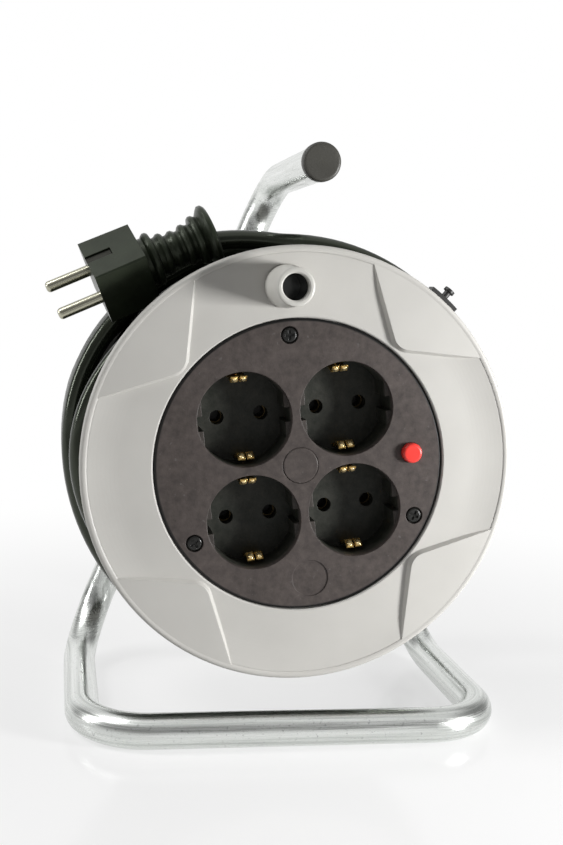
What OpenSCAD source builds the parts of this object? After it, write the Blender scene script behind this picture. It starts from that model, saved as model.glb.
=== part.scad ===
// Extension cord reel: a plastic drum with four earthed sockets on a bent steel tube stand.
// Units are millimetres. +Z is up and the sockets face -Y. The origin is on the floor,
// under the middle of the stand and drum.

/* [Stand] */
// Outside diameter of the stand's tube
tube_d = 15; // [14:0.5:17]
// Wall of the stand's tube
tube_wall = 1.2; // [1:0.1:1.6]
// Width of the base between the middles of its two side runs
base_w = 178; // [172:1:190]
// Depth of the base from the middle of the front bar to the middle of the legs
base_depth = 122; // [118:1:135]
// Bend radius at the base's front corners
corner_r = 28; // [24:1:34]
// Bend radius where the side runs turn up into the legs
leg_bend_r = 32; // [26:1:36]
// Bend radius between the left leg and the handle
handle_bend_r = 24; // [20:1:28]
// Height of the drum's axis above the floor
axis_h = 120.5; // [118:0.5:130]
// Height of the handle's middle above the drum's axis
handle_rise = 124.6; // [122:0.2:126]
// Distance of the handle tube's front end behind the socket plate's face
handle_front = 11; // [6:1:16]
// Height of the right leg's end above the drum's axis
leg_rise = 28; // [24:1:40]
// Distance of the drum's axis to the left of the stand's middle
axis_shift = 3.6; // [0:0.2:6]
// Diameter of the end caps
cap_d = 16.2; // [16:0.1:19]
// Thickness of the end caps' heads
cap_t = 4; // [3:0.5:5]

/* [Axle] */
// Diameter of the axle
axle_d = 12; // [10:0.5:13]
// Diameter of the axle's threaded end
thread_d = 10; // [8:0.5:10]
// Thickness of the axle bracket's steel
bracket_t = 3; // [2.5:0.5:4]
// Height of the axle bracket
bracket_h = 30; // [28:1:36]
// Depth of the bracket's folded edges
bracket_lip = 8; // [6:1:10]

/* [Drum] */
// Outside diameter of the flanges
flange_d = 181; // [178:1:186]
// Thickness of the front flange's wall
flange_t = 5; // [4.5:0.5:6]
// Width between the flanges
drum_gap = 73.5; // [73.5:0.5:78]
// Outside diameter of the barrel
barrel_d = 140; // [138:1:141]
// Wall of the barrel
barrel_wall = 2.5; // [2:0.5:3]
// Thickness of the rear flange
rear_t = 3.2; // [3:0.2:4]
// Turn of the drum at rest, anticlockwise from the front
rest_turn = 7.9; // [0:0.1:15]
// Height of the flange's rounded lip over the plate's face
lip_rise = 2.5; // [2.3:0.1:3]
// Width of the flange's rounded lip
lip_w = 3; // [2.8:0.1:3.6]
// Height of the four raised panels' inner corners over the plate's face
panel_rise = 2.9; // [2.6:0.1:3.2]

/* [Socket plate] */
// Diameter of the socket plate
plate_d = 121.6; // [120:0.2:122]
// Thickness of the socket plate
plate_t = 2.5; // [2:0.1:3]
// Distance between neighbouring sockets
socket_pitch = 43; // [43:0.1:44]
// Diameter of a socket's well
socket_d = 39; // [38.5:0.1:39.2]
// Depth of a socket's well
socket_depth = 17.5; // [17:0.1:18.5]
// Thickness of a well's floor
floor_t = 2.5; // [2:0.1:3]
// Wall of a well
well_wall = 1.8; // [1.5:0.1:1.8]
// Distance between a socket's pin holes
pin_pitch = 19; // [19:0.1:19.2]
// Diameter of a pin hole
pin_hole_d = 6; // [5.5:0.1:6.4]
// Half the width between a well's flat guides
guide_x = 17.1; // [16.9:0.1:17.4]
// Radius of the plate screws' circle
plate_screw_r = 54.2; // [54:0.1:55]
// Radius of the reset button's place
button_r = 47.6; // [47:0.1:48.5]
// Diameter of the reset button
button_d = 8.4; // [8:0.1:9]
// Height of the reset button over the plate
button_rise = 3; // [2.8:0.1:3.5]
// Travel of the reset button
button_travel = 2.5; // [1.5:0.1:2.5]

/* [Winding knob] */
// Distance of the knob from the drum's axis
knob_r = 74; // [73:0.5:75]
// Diameter of the knob at its end
knob_d = 15.4; // [15.2:0.1:16]
// Height of the knob's end over the plate's face
knob_tip = 22; // [20:0.5:26]
// Diameter of the hole in the knob's end
knob_hole_d = 10.6; // [10:0.1:11]

/* [Cable and plug] */
// Diameter of the cable
cord_d = 8.4; // [8:0.1:8.4]
// Distance between neighbouring turns
turn_pitch = 8.9; // [8.9:0.1:9]
// Length of the plug's body
plug_len = 22.2; // [21.6:0.2:23]
// Length of the plug's ribbed neck
neck_len = 31.2; // [30.4:0.2:32]

/* [Hidden] */
$fn = 96;

// Clearances: a running fit, a seat within one body, and free air beside the cable
fit = 0.06;
seat = 0.1;
air = 0.3;
// How far a cutting shape runs past what it cuts
over = 1;

cord_r = cord_d / 2;

// Places in the stand
tube_r = tube_d / 2;
bore_r = tube_r - tube_wall;
rear_reach = max(tube_d, cap_d) / 2;
face_y = (knob_tip - base_depth - rear_reach) / 2;
axis_x = -axis_shift;
leg_y = face_y + base_depth;
handle_z = axis_h + handle_rise;
// A leg leans in by 44 for every 117 that it rises, which makes 125 along the leg
lean_sin = 44 / 125;
lean_cos = 117 / 125;
leg_len = round(100 * (handle_z - tube_r) / lean_cos) / 100;
leg_top = axis_h + leg_rise;
leg_x = base_w / 2 - lean_sin / lean_cos * (axis_h - tube_r);
short_leg = round(100 * (leg_top - tube_r) / lean_cos) / 100;
handle_run = base_depth - handle_front;
cap_insert = 12;
leg_screw_d = 4.8;
leg_screw_head = [9.6, 2.8];

// Heights in the drum, measured from the plate's face and positive to the front
flange_back = -flange_t;
rear_face = flange_back - drum_gap;
rear_back = rear_face - rear_t;
hub_front = -58;
hub_back = rear_back - 12;
web_front = -(base_depth - tube_r - seat - bracket_t);
web_back = web_front - bracket_t;
collar_front = hub_back - 0.4;
washer_t = 1.5;
ring_t = 1.2;
ring_top = hub_front + air + washer_t + ring_t + seat;
axle_front = ring_top + 2.5;
nut_t = 7;

// Radii in the drum
flange_r = flange_d / 2;
barrel_r = barrel_d / 2;
bush_r = axle_d / 2 + 3;
hub_r = bush_r + 4;
opening_r = plate_d / 2 + 0.4;
lip_r = flange_r - lip_w;
well_r = socket_d / 2;
ledge_r = socket_pitch / sqrt(2) + well_r + well_wall + 0.8;
spigot_r = barrel_r - barrel_wall - seat;
boss_r = 4;
plate_screw_angles = [90, -30, -150];
screw_sink = 1.6;
screw_hole_d = 7.3;
centre_d = 15;
mark_r = 48.2;
mark_d = 15.3;
drum_screw_r = barrel_r - barrel_wall - boss_r;
drum_screw_angles = [45, 135, 225, 315];
// The flange's face: a flat floor that curves up to the lip
dish_floor = 0.6;
dish_rim = lip_rise - 0.5;
dish_bend = lip_r - 14.1;
dish_curve = (pow(lip_r - dish_bend, 2) + pow(dish_rim - dish_floor, 2)) / (2 * (dish_rim - dish_floor));
dish_sweep = asin((lip_r - dish_bend) / dish_curve);

// Raised panels: a corner on each diagonal with edges opening at this half angle
panel_corner = 62.5;
panel_half_angle = 56;
panel_round = 7;
panel_draft = 0.55;
panel_side = 60;
panel_outer = dish_rim + 0.35;
function panel_top(r) = panel_rise + (panel_outer - panel_rise) * (r - panel_corner) / (lip_r - panel_corner);

// Sockets
socket_places = [for (sx = [-1, 1], sy = [1, -1]) [sx, sy] * socket_pitch / 2];
floor_back = -(socket_depth + floor_t);
guide_h = 19;
guide_top = 2;
pin_boss = 4;
pin_boss_wall = 1.3;
notch_h = 6.2;
earth_w = 6.8;
earth_t = 0.8;
earth_y = 17.5;
earth_bump = 2.3;
finger_gap = 0.8;
sleeve_r = 3.7;
sleeve_len = 7.5;
sleeve_top = floor_back - pin_boss - seat;
bar_w = 5;
bar_t = 1;
line_depth = sleeve_top - 4.4;
neutral_depth = sleeve_top - 6.7;
bar_cross = 10;
cover_w = socket_pitch + socket_d + 2 * well_wall + 0.4;
cover_wall = 1.8;
cover_back = floor_back - 14;
post_r = 5;
post_top = -12;
cutout_size = [12, 18];
cutout_top = -9;
cutout_back = -30;
button_flange_r = button_d / 2 + 1.1;
button_flange_t = 1.2;
cutout_collar_r = button_flange_r + 1.3;
stem_r = 2;
stem_end = -13;

// Winding knob
pin_r = knob_hole_d / 2 + 1.1;
knob_foot_r = knob_d / 2 + 1.1;
knob_seat = dish_floor + 0.3;
knob_base = knob_seat + air;
knob_bore_r = pin_r + seat;
pin_top = knob_tip - 3.6;
snap_r = pin_r + 0.5;

// Cable inside the drum
lead_angle = 247;
lead_bend = 18;
lead_r = 34;
lead_back = rear_face + cord_r + 1.5;

// Plug: middle of its front face from the drum's axis, depth behind the plate's face, slope and roll
plug_x = -85.7;
plug_z = 70.5;
plug_y = 24;
plug_slope = 25.5;
plug_yaw = 1.2;
plug_roll = 37.7;
plug_half = 12.6;
plug_front_r = 17.5;
plug_back_r = 17.2;
plug_end_r = 13.1;
plug_dir = [cos(plug_slope) * cos(plug_yaw), sin(plug_yaw), sin(plug_slope) * cos(plug_yaw)];
plug_up = [-sin(plug_slope), 0, cos(plug_slope)];
plug_side = cross(plug_up, plug_dir);
rib_r = [11.4, 9.1, 8.2, 8.9, 10.6];
groove_r = [10, 8.2, 7.2, 7.1, 7.9, 9.6];
rib_first = 4.1;
rib_step = 5.1;
bell_floor = plug_len + 5;
contact_d = 4.8;
contact_len = 19;
contact_seat = 8;
earth_slot = 4.4;

// Wound cable: radii of the two visible layers, and the angles and depths that their turns run through
turn_step = 15;
outer_layer_r = 91.6;
outer_bulge = 2.4;
bulge_at = 160;
bulge_span = 30;
under_layer_r = 82.1;
chord_room = 1.1;
core_rear_r = outer_layer_r - cord_r - chord_room;
core_front_r = under_layer_r - cord_r - chord_room;
cross_from = 90;
cross_to = -195;
outer_first_y = 47;
outer_turns = 3;
outer_last = cross_to - 360 * outer_turns;
under_first_y = flange_t + cord_r + 0.5;
under_from = 30;
under_steps = 87;
core_step_y = outer_first_y - 0.5;
climb_w = 7.4;
climb_span = 35;
climb_drop = 1;

// The cable out of the plug: two bends, inward and back, between the plug's axis and the coil's outer layer
lead_turn_r = 4 * cord_d;
lead_from = bell_floor + cord_d + 0.1;
lead_seat = [plug_x, plug_y, plug_z] + plug_dir * bell_floor;
lead_first = [plug_x, plug_y, plug_z] + plug_dir * lead_from;
lead_in = [lead_first[0], lead_first[2]] - lead_turn_r * [plug_up[0], plug_up[2]];
lead_out_r = outer_layer_r + lead_turn_r;
lead_out_a = atan2(lead_in[1], lead_in[0])
    - acos((lead_in * lead_in + pow(lead_out_r, 2) - 4 * pow(lead_turn_r, 2))
        / (2 * norm(lead_in) * lead_out_r));
lead_out = lead_out_r * [cos(lead_out_a), sin(lead_out_a)];
lead_mid = (lead_out - lead_in) / (2 * lead_turn_r);
lead_mid_a = atan2(lead_mid[1], lead_mid[0]);
lead_last_y = lead_first[1] + 1.7;

// Geometry helpers
function unit(v) = v / norm(v);
function arc(c, r, a0, a1, n) = [for (i = [0:n])
    c + r * [cos(a0 + (a1 - a0) * i / n), sin(a0 + (a1 - a0) * i / n)]];
function polar(r, a) = r * [cos(a), sin(a)];
function spot(a, r, y) = [r * cos(a), y, r * sin(a)];
function clockwise(a) = [sin(a), 0, -cos(a)];
function columns(x, y, z, c) = [[x[0], y[0], z[0], c[0]], [x[1], y[1], z[1], c[1]], [x[2], y[2], z[2], c[2]]];

// The drum's own frame: X right, Y up and Z to the front, from the middle of the plate's face
module drum_frame() {
    translate([axis_x, face_y, axis_h]) rotate([0, -rest_turn, 0]) rotate([90, 0, 0]) children();
}

// The same frame without the drum's turn, for what stays on the stand
module axle_frame() {
    translate([axis_x, face_y, axis_h]) rotate([90, 0, 0]) children();
}

// The frame that the cable's points are in: X right, Y to the back, Z up
module cable_frame() {
    translate([axis_x, face_y, axis_h]) children();
}

// The plug's frame: X through the pins, Y through the earth strips, Z from the pins to the cable
module plug_frame() {
    across = cos(plug_roll) * plug_side + sin(plug_roll) * plug_up;
    along_earth = cos(plug_roll) * plug_up - sin(plug_roll) * plug_side;
    cable_frame() multmatrix(columns(across, along_earth, plug_dir, [plug_x, plug_y, plug_z])) children();
}

module at_polar(r, a) {
    rotate([0, 0, a]) translate([r, 0, 0]) children();
}

// The frame of a leg: it leans in from the base, with Z along the leg and Y along the side run and the handle
module leg_frame(side) {
    multmatrix(columns([lean_cos, 0, side * lean_sin], [0, 1, 0], [-side * lean_sin, 0, lean_cos],
        [side * base_w / 2, leg_y, tube_r])) children();
}

// A quarter bend that starts at [r, 0, 0] and turns about Z
module bend(r, d) {
    rotate_extrude(angle = 90) translate([r, 0]) circle(d = d);
}

// A pan-head screw standing on its head's underside, shank down
module screw(head, shank_d, length) {
    difference() {
        union() {
            rotate_extrude() polygon(concat([[0, 0], [head[0] / 2, 0]],
                arc([head[0] / 2 - head[1] * 0.6, head[1] * 0.4], head[1] * 0.6, 0, 90, 6), [[0, head[1]]]));
            translate([0, 0, -length]) cylinder(d = shank_d, h = length + 0.2);
        }
        for (a = [0, 90]) rotate([0, 0, a]) translate([0, 0, head[1]])
            cube([head[0] * 0.62, head[0] * 0.15, head[1]], center = true);
    }
}

// Stand

// One leg with its side run, in the leg's frame
module leg(length, d, extra) {
    side_run = base_depth - corner_r - leg_bend_r;
    translate([0, -leg_bend_r, 0]) rotate([90, 0, 0]) cylinder(d = d, h = side_run);
    translate([0, -leg_bend_r, leg_bend_r]) rotate([0, 90, 0]) bend(leg_bend_r, d);
    translate([0, 0, leg_bend_r]) cylinder(d = d, h = length - leg_bend_r + extra);
}

// The whole bent bar: handle, left leg, front of the base and right leg
module stand_bar(d, extra = 0) {
    front_run = base_w - 2 * corner_r;
    leg_frame(-1) {
        leg(leg_len - handle_bend_r, d, 0);
        translate([0, -handle_bend_r, leg_len - handle_bend_r]) rotate([90, 0, 90]) bend(handle_bend_r, d);
        translate([0, -handle_bend_r, leg_len]) rotate([90, 0, 0])
            cylinder(d = d, h = handle_run - handle_bend_r + extra);
    }
    leg_frame(1) leg(short_leg, d, extra);
    translate([-front_run / 2, face_y + corner_r, tube_r]) rotate([0, 0, 180]) bend(corner_r, d);
    translate([front_run / 2, face_y + corner_r, tube_r]) rotate([0, 0, 270]) bend(corner_r, d);
    translate([-front_run / 2, face_y, tube_r]) rotate([0, 90, 0]) cylinder(d = d, h = front_run);
}

module stand_tube() {
    color("silver") difference() {
        stand_bar(tube_d);
        stand_bar(tube_d - 2 * tube_wall, over);
        for (s = [-1, 1]) translate([s * leg_x, leg_y, axis_h]) rotate([90, 0, 0])
            cylinder(d = leg_screw_d + 2 * seat, h = tube_d);
    }
}

// A plug-in cap for a tube's end, seated on z = 0
module end_cap() {
    edge = cap_t * 0.35;
    rotate_extrude() polygon(concat([[0, -cap_insert], [bore_r - seat - 0.6, -cap_insert],
        [bore_r - seat, -cap_insert + 2], [bore_r - seat, 0], [cap_d / 2, 0]],
        arc([cap_d / 2 - edge, cap_t - edge], edge, 0, 90, 6), [[0, cap_t]]));
}

module handle_cap() {
    color("dimgray") leg_frame(-1) translate([0, -handle_run, leg_len]) rotate([90, 0, 0]) end_cap();
}

module leg_cap() {
    color("dimgray") leg_frame(1) translate([0, 0, short_leg]) end_cap();
}

// Pressed-steel channel across the two legs, with its edges folded forward
module axle_bracket() {
    half = leg_x + 11;
    round_r = bracket_h / 2;
    lip_half = leg_x - tube_r - 4;
    color("gainsboro") difference() {
        translate([0, face_y, axis_h]) rotate([90, 0, 0]) union() {
            translate([0, 0, web_back]) linear_extrude(bracket_t)
                polygon(concat(arc([half - round_r, 0], round_r, -90, 90, 16),
                    arc([round_r - half, 0], round_r, 90, 270, 16)));
            for (s = [-1, 1])
                translate([-lip_half, s * (bracket_h - bracket_t) / 2 - bracket_t / 2, web_back])
                cube([2 * lip_half, bracket_t, bracket_t + bracket_lip]);
        }
        axle_frame() translate([0, 0, web_back - over])
            cylinder(d = thread_d + 2 * seat, h = bracket_t + 2 * over);
        for (s = [-1, 1]) translate([s * leg_x, leg_y, axis_h]) rotate([90, 0, 0])
            cylinder(d = leg_screw_d + 2 * seat, h = base_depth);
    }
}

module bracket_screws() {
    color("silver") for (s = [-1, 1])
        translate([s * leg_x, face_y - web_front, axis_h]) rotate([90, 0, 0])
            screw(leg_screw_head, leg_screw_d, bracket_t + tube_wall + 6);
}

// Stepped axle: journal, collar against the bracket and a threaded tail
module axle() {
    journal = axle_d / 2;
    groove = journal - 1;
    collar_r = journal + 4;
    tail = web_back - nut_t - 2;
    groove_top = ring_top + seat / 2;
    groove_low = ring_top - ring_t - seat / 2;
    color("silver") axle_frame() rotate_extrude() polygon([[0, axle_front], [journal - 1, axle_front],
        [journal, axle_front - 1], [journal, groove_top], [groove, groove_top], [groove, groove_low],
        [journal, groove_low], [journal, collar_front], [collar_r, collar_front], [collar_r, web_front],
        [thread_d / 2, web_front], [thread_d / 2, tail + 0.8], [thread_d / 2 - 0.8, tail], [0, tail]]);
}

module axle_nut() {
    color("silver") axle_frame() translate([0, 0, web_back - nut_t]) difference() {
        cylinder(d = thread_d * 1.75, h = nut_t, $fn = 6);
        translate([0, 0, -over]) cylinder(d = thread_d + seat, h = nut_t + 2 * over);
    }
}

module axle_washer() {
    color("silver") axle_frame() translate([0, 0, hub_front + air]) difference() {
        cylinder(r = hub_r - 1, h = washer_t);
        translate([0, 0, -over]) cylinder(d = axle_d + 2 * seat, h = washer_t + 2 * over);
    }
}

// Open retaining ring in the axle's groove
module axle_ring() {
    inner = axle_d / 2 - 1 + seat;
    color("slategray") axle_frame() translate([0, 0, ring_top - ring_t])
        rotate_extrude(angle = 300) translate([inner, 0]) square([3, ring_t]);
}

// Drum

// Outline of a raised panel, grown by some amount: two straight edges with a round between them
function panel_ring(grow) =
    let (tip = panel_corner - grow / sin(panel_half_angle), turn = 90 - panel_half_angle,
        x = tip + panel_side * cos(panel_half_angle), y = panel_side * sin(panel_half_angle))
    concat(arc([panel_corner + panel_round / sin(panel_half_angle), 0],
            panel_round + grow, 180 + turn, 180 - turn, 10),
        [[x, y], [tip + 2 * panel_side, y], [tip + 2 * panel_side, -y], [x, -y]]);

// A raised panel's block with sloping sides, from inside the flange's wall up to its highest corner
module panel_block() {
    low = -plate_t;
    top = panel_ring(0);
    base = panel_ring(panel_draft * (panel_rise - low));
    n = len(top);
    points = concat([for (p = base) [p[0], p[1], low]], [for (p = top) [p[0], p[1], panel_rise]]);
    sides = [for (k = [0:n - 1]) let (m = (k + 1) % n) each [[k, m, k + n], [m, m + n, k + n]]];
    polyhedron(points, concat([[for (k = [0:n - 1]) k]], [[for (k = [0:n - 1]) 2 * n - 1 - k]], sides));
}

module front_flange() {
    lip_mid = flange_r - lip_w / 2;
    edge = 1.4;
    ledge = -plate_t - seat / 2;
    foot = dish_rim - 0.15;
    color("lightgray") drum_frame() difference() {
        union() {
            rotate_extrude() polygon(concat([[ledge_r, flange_back], [ledge_r, ledge], [opening_r, ledge],
                [opening_r, dish_floor - 0.5], [opening_r + 0.5, dish_floor]],
                [for (i = [0:8]) [dish_bend + dish_curve * sin(dish_sweep * i / 8),
                    dish_floor + dish_curve * (1 - cos(dish_sweep * i / 8))]],
                [for (a = [180:-15:90])
                    [lip_mid + lip_w / 2 * cos(a) + 0.05, foot + (lip_rise - foot) * sin(a)]],
                arc([lip_mid, lip_rise - lip_w / 2], lip_w / 2, 75, 0, 5),
                [[flange_r, flange_back + edge], [flange_r - edge, flange_back]]));
            for (a = [45, 135, 225, 315]) rotate([0, 0, a]) intersection() {
                panel_block();
                rotate_extrude() polygon([[opening_r, -plate_t / 2], [opening_r, panel_top(opening_r)],
                    [lip_mid, panel_top(lip_mid)], [lip_mid, -plate_t / 2]]);
            }
            translate([0, 0, flange_back - 5]) rotate_extrude()
                translate([spigot_r - 1.8, 0]) square([1.8, 5 + flange_t / 4]);
            for (a = plate_screw_angles) at_polar(plate_screw_r, a) translate([0, 0, flange_back - 10])
                cylinder(r = boss_r, h = 10 + flange_t / 4);
        }
        for (a = plate_screw_angles) at_polar(plate_screw_r, a) {
            translate([0, 0, flange_back - 9]) cylinder(d = 3, h = 12);
            translate([0, 0, -screw_sink - seat]) cylinder(d = screw_hole_d, h = 10);
        }
        at_polar(knob_r, 90) {
            translate([0, 0, flange_back - over]) cylinder(r = 4, h = flange_t + 5);
            translate([0, 0, knob_seat]) cylinder(r = knob_foot_r + air, h = 10);
        }
        translate([button_r, 0, flange_back - over]) cylinder(r = cutout_collar_r + air, h = flange_t);
    }
}

module drum_barrel() {
    boss_len = 14;
    color("dimgray") drum_frame() difference() {
        union() {
            translate([0, 0, rear_face]) difference() {
                cylinder(r = barrel_r, h = drum_gap);
                translate([0, 0, -over]) cylinder(r = barrel_r - barrel_wall, h = drum_gap + 2 * over);
            }
            for (a = drum_screw_angles) at_polar(drum_screw_r, a) translate([0, 0, rear_face]) difference() {
                union() {
                    cylinder(r = boss_r, h = boss_len);
                    translate([0, -boss_r, 0]) cube([boss_r + barrel_wall / 2, 2 * boss_r, boss_len]);
                }
                translate([0, 0, -over]) cylinder(d = 3, h = boss_len - 1);
            }
        }
        rotate([0, 0, lead_angle]) translate([lead_r, 0, lead_back]) rotate([0, 90, 0])
            cylinder(r = cord_r + 0.4, h = barrel_r);
    }
}

// Rear flange with its hub, a spigot into the barrel and ribs on the back
module rear_flange() {
    lip_back = rear_back - 2.5;
    rib_h = 3;
    color("darkgray") drum_frame() difference() {
        union() {
            rotate_extrude() polygon([[bush_r + seat / 2, hub_back + 1.6],
                [bush_r + seat / 2, hub_front - 0.4],
                [hub_r, hub_front - 0.4], [hub_r, rear_face], [flange_r - 1.2, rear_face],
                [flange_r, rear_face - 1.2], [flange_r, lip_back + 1], [flange_r - 1, lip_back],
                [flange_r - 3, lip_back], [flange_r - 3, rear_back],
                [hub_r + 3, rear_back], [hub_r, hub_back + 1.6]]);
            translate([0, 0, rear_face - rear_t / 2]) rotate_extrude()
                translate([hub_r + 6, 0]) square([2.5, 12]);
            for (i = [0:7]) rotate([0, 0, i * 45]) translate([hub_r - 0.5, -1.25, rear_back - rib_h])
                cube([flange_r - 2 - hub_r, 2.5, rib_h + rear_t / 2]);
        }
        for (a = drum_screw_angles) at_polar(drum_screw_r, a) translate([0, 0, rear_back - rib_h - over]) {
            cylinder(d = 4.2, h = rear_t + rib_h + 2 * over);
            cylinder(d = 9, h = rib_h + over);
        }
    }
}

module hub_bush() {
    color("ivory") drum_frame() rotate_extrude() polygon([[axle_d / 2 + fit, hub_back],
        [axle_d / 2 + fit, hub_front], [bush_r, hub_front], [bush_r, hub_back + 1.5],
        [hub_r - 1, hub_back + 1.5], [hub_r - 1, hub_back]]);
}

module drum_screws() {
    color("silver") drum_frame() for (a = drum_screw_angles) at_polar(drum_screw_r, a)
        translate([0, 0, rear_back]) mirror([0, 0, 1]) screw([7.4, 2.4], 2.8, rear_t + 10);
}

// Socket plate and what is behind it

module well_outline() {
    difference() {
        circle(d = socket_d);
        for (s = [-1, 1]) translate([s * (guide_x + 5), 0]) square([10, guide_h], center = true);
    }
    for (s = [-1, 1]) translate([s * (well_r - 2), 0]) square([3.6, notch_h], center = true);
}

module socket_plate() {
    bevel = 0.9;
    color([0.31, 0.30, 0.29]) drum_frame() difference() {
        union() {
            rotate_extrude() polygon([[0, -plate_t], [plate_d / 2, -plate_t], [plate_d / 2, -bevel],
                [plate_d / 2 - bevel, 0], [0, 0]]);
            for (p = socket_places) translate([p[0], p[1], floor_back])
                cylinder(r = well_r + well_wall, h = -floor_back - plate_t / 2);
            for (p = socket_places, s = [-1, 1])
                translate([p[0] + s * pin_pitch / 2, p[1], floor_back - pin_boss])
                cylinder(d = pin_hole_d + 2 * pin_boss_wall, h = pin_boss + floor_t / 2);
            translate([0, 0, post_top]) cylinder(r = post_r, h = -post_top - plate_t / 2);
        }
        for (p = socket_places) translate([p[0], p[1], 0]) {
            translate([0, 0, -socket_depth]) linear_extrude(socket_depth + over) well_outline();
            translate([0, 0, -guide_top]) cylinder(d1 = socket_d, d2 = socket_d + 0.9, h = guide_top + over);
            for (s = [-1, 1]) {
                translate([s * pin_pitch / 2, 0, floor_back - pin_boss - over])
                    cylinder(d = pin_hole_d, h = pin_boss + floor_t + 2 * over);
                translate([0, s * earth_y, floor_back + floor_t / 2])
                    cube([earth_w + 0.6, earth_t + 0.8, floor_t + 2 * over], center = true);
            }
        }
        for (a = plate_screw_angles) at_polar(plate_screw_r, a) {
            translate([0, 0, -screw_sink]) cylinder(d = screw_hole_d, h = 3);
            translate([0, 0, -plate_t - over]) cylinder(d = 3.6, h = plate_t + 2 * over);
        }
        translate([button_r, 0, -plate_t - over]) cylinder(d = button_d + 4 * fit, h = plate_t + 2 * over);
        translate([0, 0, -1]) cylinder(d = centre_d + 2 * seat, h = 2);
        translate([0, -mark_r, -0.4]) cylinder(d = mark_d, h = 1);
        translate([0, 0, post_top - over]) cylinder(d = 3, h = 8 + over);
    }
}

module plate_screws() {
    color("black") drum_frame() for (a = plate_screw_angles) at_polar(plate_screw_r, a)
        translate([0, 0, -screw_sink]) screw([6.4, screw_sink], 2.8, 11);
}

module centre_cap() {
    color([0.33, 0.32, 0.31]) drum_frame() translate([0, 0, -1 + seat / 2]) rotate_extrude()
        polygon([[0, 0], [centre_d / 2, 0], [centre_d / 2, 0.8], [centre_d / 2 - 0.4, 1.2], [0, 1.2]]);
}

// One socket's earth spring: a strap behind the floor and, at each side of the well, a split arm with a bump
module earth_clip(p) {
    strap_top = floor_back - seat;
    half = earth_t / 2;
    bump = earth_y - earth_bump;
    low = -socket_depth + 2;
    mid = -socket_depth + 7.4;
    tip = -socket_depth + 11.5;
    color("goldenrod") drum_frame() translate([p[0], p[1], 0]) difference() {
        union() {
            translate([-earth_w / 2, -earth_y - half, strap_top - earth_t])
                cube([earth_w, 2 * earth_y + earth_t, earth_t]);
            for (s = [-1, 1]) rotate([90, 0, 90]) translate([0, 0, -earth_w / 2]) linear_extrude(earth_w)
                polygon([for (v = [[earth_y + half, strap_top - half], [earth_y + half, low + 0.1],
                    [bump + half, mid - 0.4], [bump + half, mid + 0.3], [earth_y + 0.1, tip - 0.2],
                    [earth_y - 0.6, tip + 0.2], [bump - half, mid + 0.6], [bump - half, mid - 0.6],
                    [earth_y - half, low - 0.1], [earth_y - half, strap_top - half]]) [s * v[0], v[1]]]);
        }
        for (s = [-1, 1]) translate([-finger_gap / 2, s * earth_y - 5, -socket_depth + 2])
            cube([finger_gap, 10, socket_depth]);
    }
}

// A busbar: contact sleeves behind one row of pin holes, joined by strips at one depth
module busbar(side, depth, cross_y) {
    columns_x = [for (sx = [-1, 1]) sx * socket_pitch / 2 + side * pin_pitch / 2];
    half = socket_pitch / 2;
    drum_frame() difference() {
        union() {
            for (x = columns_x) {
                for (s = [-1, 1]) translate([x, s * half, sleeve_top - sleeve_len])
                    cylinder(r = sleeve_r, h = sleeve_len);
                translate([x - bar_w / 2, -half, depth]) cube([bar_w, 2 * half, bar_t]);
            }
            translate([columns_x[0], cross_y - bar_w / 2, depth])
                cube([columns_x[1] - columns_x[0], bar_w, bar_t]);
        }
        for (x = columns_x, s = [-1, 1]) translate([x, s * half, sleeve_top - sleeve_len - over])
            cylinder(d = contact_d + 0.4, h = sleeve_len + 2 * over);
    }
}

// Box that closes the contacts off from behind, with a post for its screw
module cover_outline(inset) {
    intersection() {
        square(cover_w - 2 * inset, center = true);
        circle(r = ledge_r - 0.6 - inset);
    }
}

module socket_cover() {
    depth = floor_back - cover_back;
    color("black") drum_frame() difference() {
        union() {
            difference() {
                translate([0, 0, cover_back]) linear_extrude(depth - seat / 2) cover_outline(0);
                translate([0, 0, cover_back + cover_wall]) linear_extrude(depth) cover_outline(cover_wall);
            }
            translate([0, 0, cover_back]) cylinder(r = post_r, h = post_top - cover_back - seat / 2);
        }
        translate([0, 0, cover_back - over]) cylinder(d = 3.4, h = post_top - cover_back + 2 * over);
        at_polar(lead_r, lead_angle) translate([0, 0, cover_back - over])
            cylinder(r = cord_r + seat, h = cover_wall + 2 * over);
    }
}

module cover_screw() {
    color("silver") drum_frame() translate([0, 0, cover_back]) mirror([0, 0, 1])
        screw([6, 2], 2.8, post_top - cover_back + 6);
}

// Overload cut-out behind the button, with a collar up to the plate
module thermal_cutout() {
    color("saddlebrown") drum_frame() translate([button_r, 0, 0]) difference() {
        union() {
            translate([cover_w / 2 + 0.4 - button_r, -cutout_size[1] / 2, cutout_back])
                cube([cutout_size[0], cutout_size[1], cutout_top - cutout_back]);
            translate([0, 0, cutout_top - 2])
                cylinder(r = cutout_collar_r, h = -plate_t - seat / 2 - cutout_top + 2);
        }
        translate([0, 0, cutout_top]) cylinder(r = button_flange_r + air, h = -cutout_top);
        translate([0, 0, stem_end - button_travel - 3]) cylinder(r = stem_r + air, h = 20);
    }
}

module reset_button() {
    top_round = 1.2;
    flange_top = -plate_t - air;
    r = button_d / 2;
    color("red") drum_frame() translate([button_r, 0, 0]) rotate_extrude() polygon(concat([[0, stem_end],
        [stem_r, stem_end], [stem_r, flange_top - button_flange_t],
        [button_flange_r, flange_top - button_flange_t],
        [button_flange_r, flange_top], [r, flange_top]],
        arc([r - top_round, button_rise - top_round], top_round, 0, 90, 6), [[0, button_rise]]));
}

// Winding knob on its pin

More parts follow.
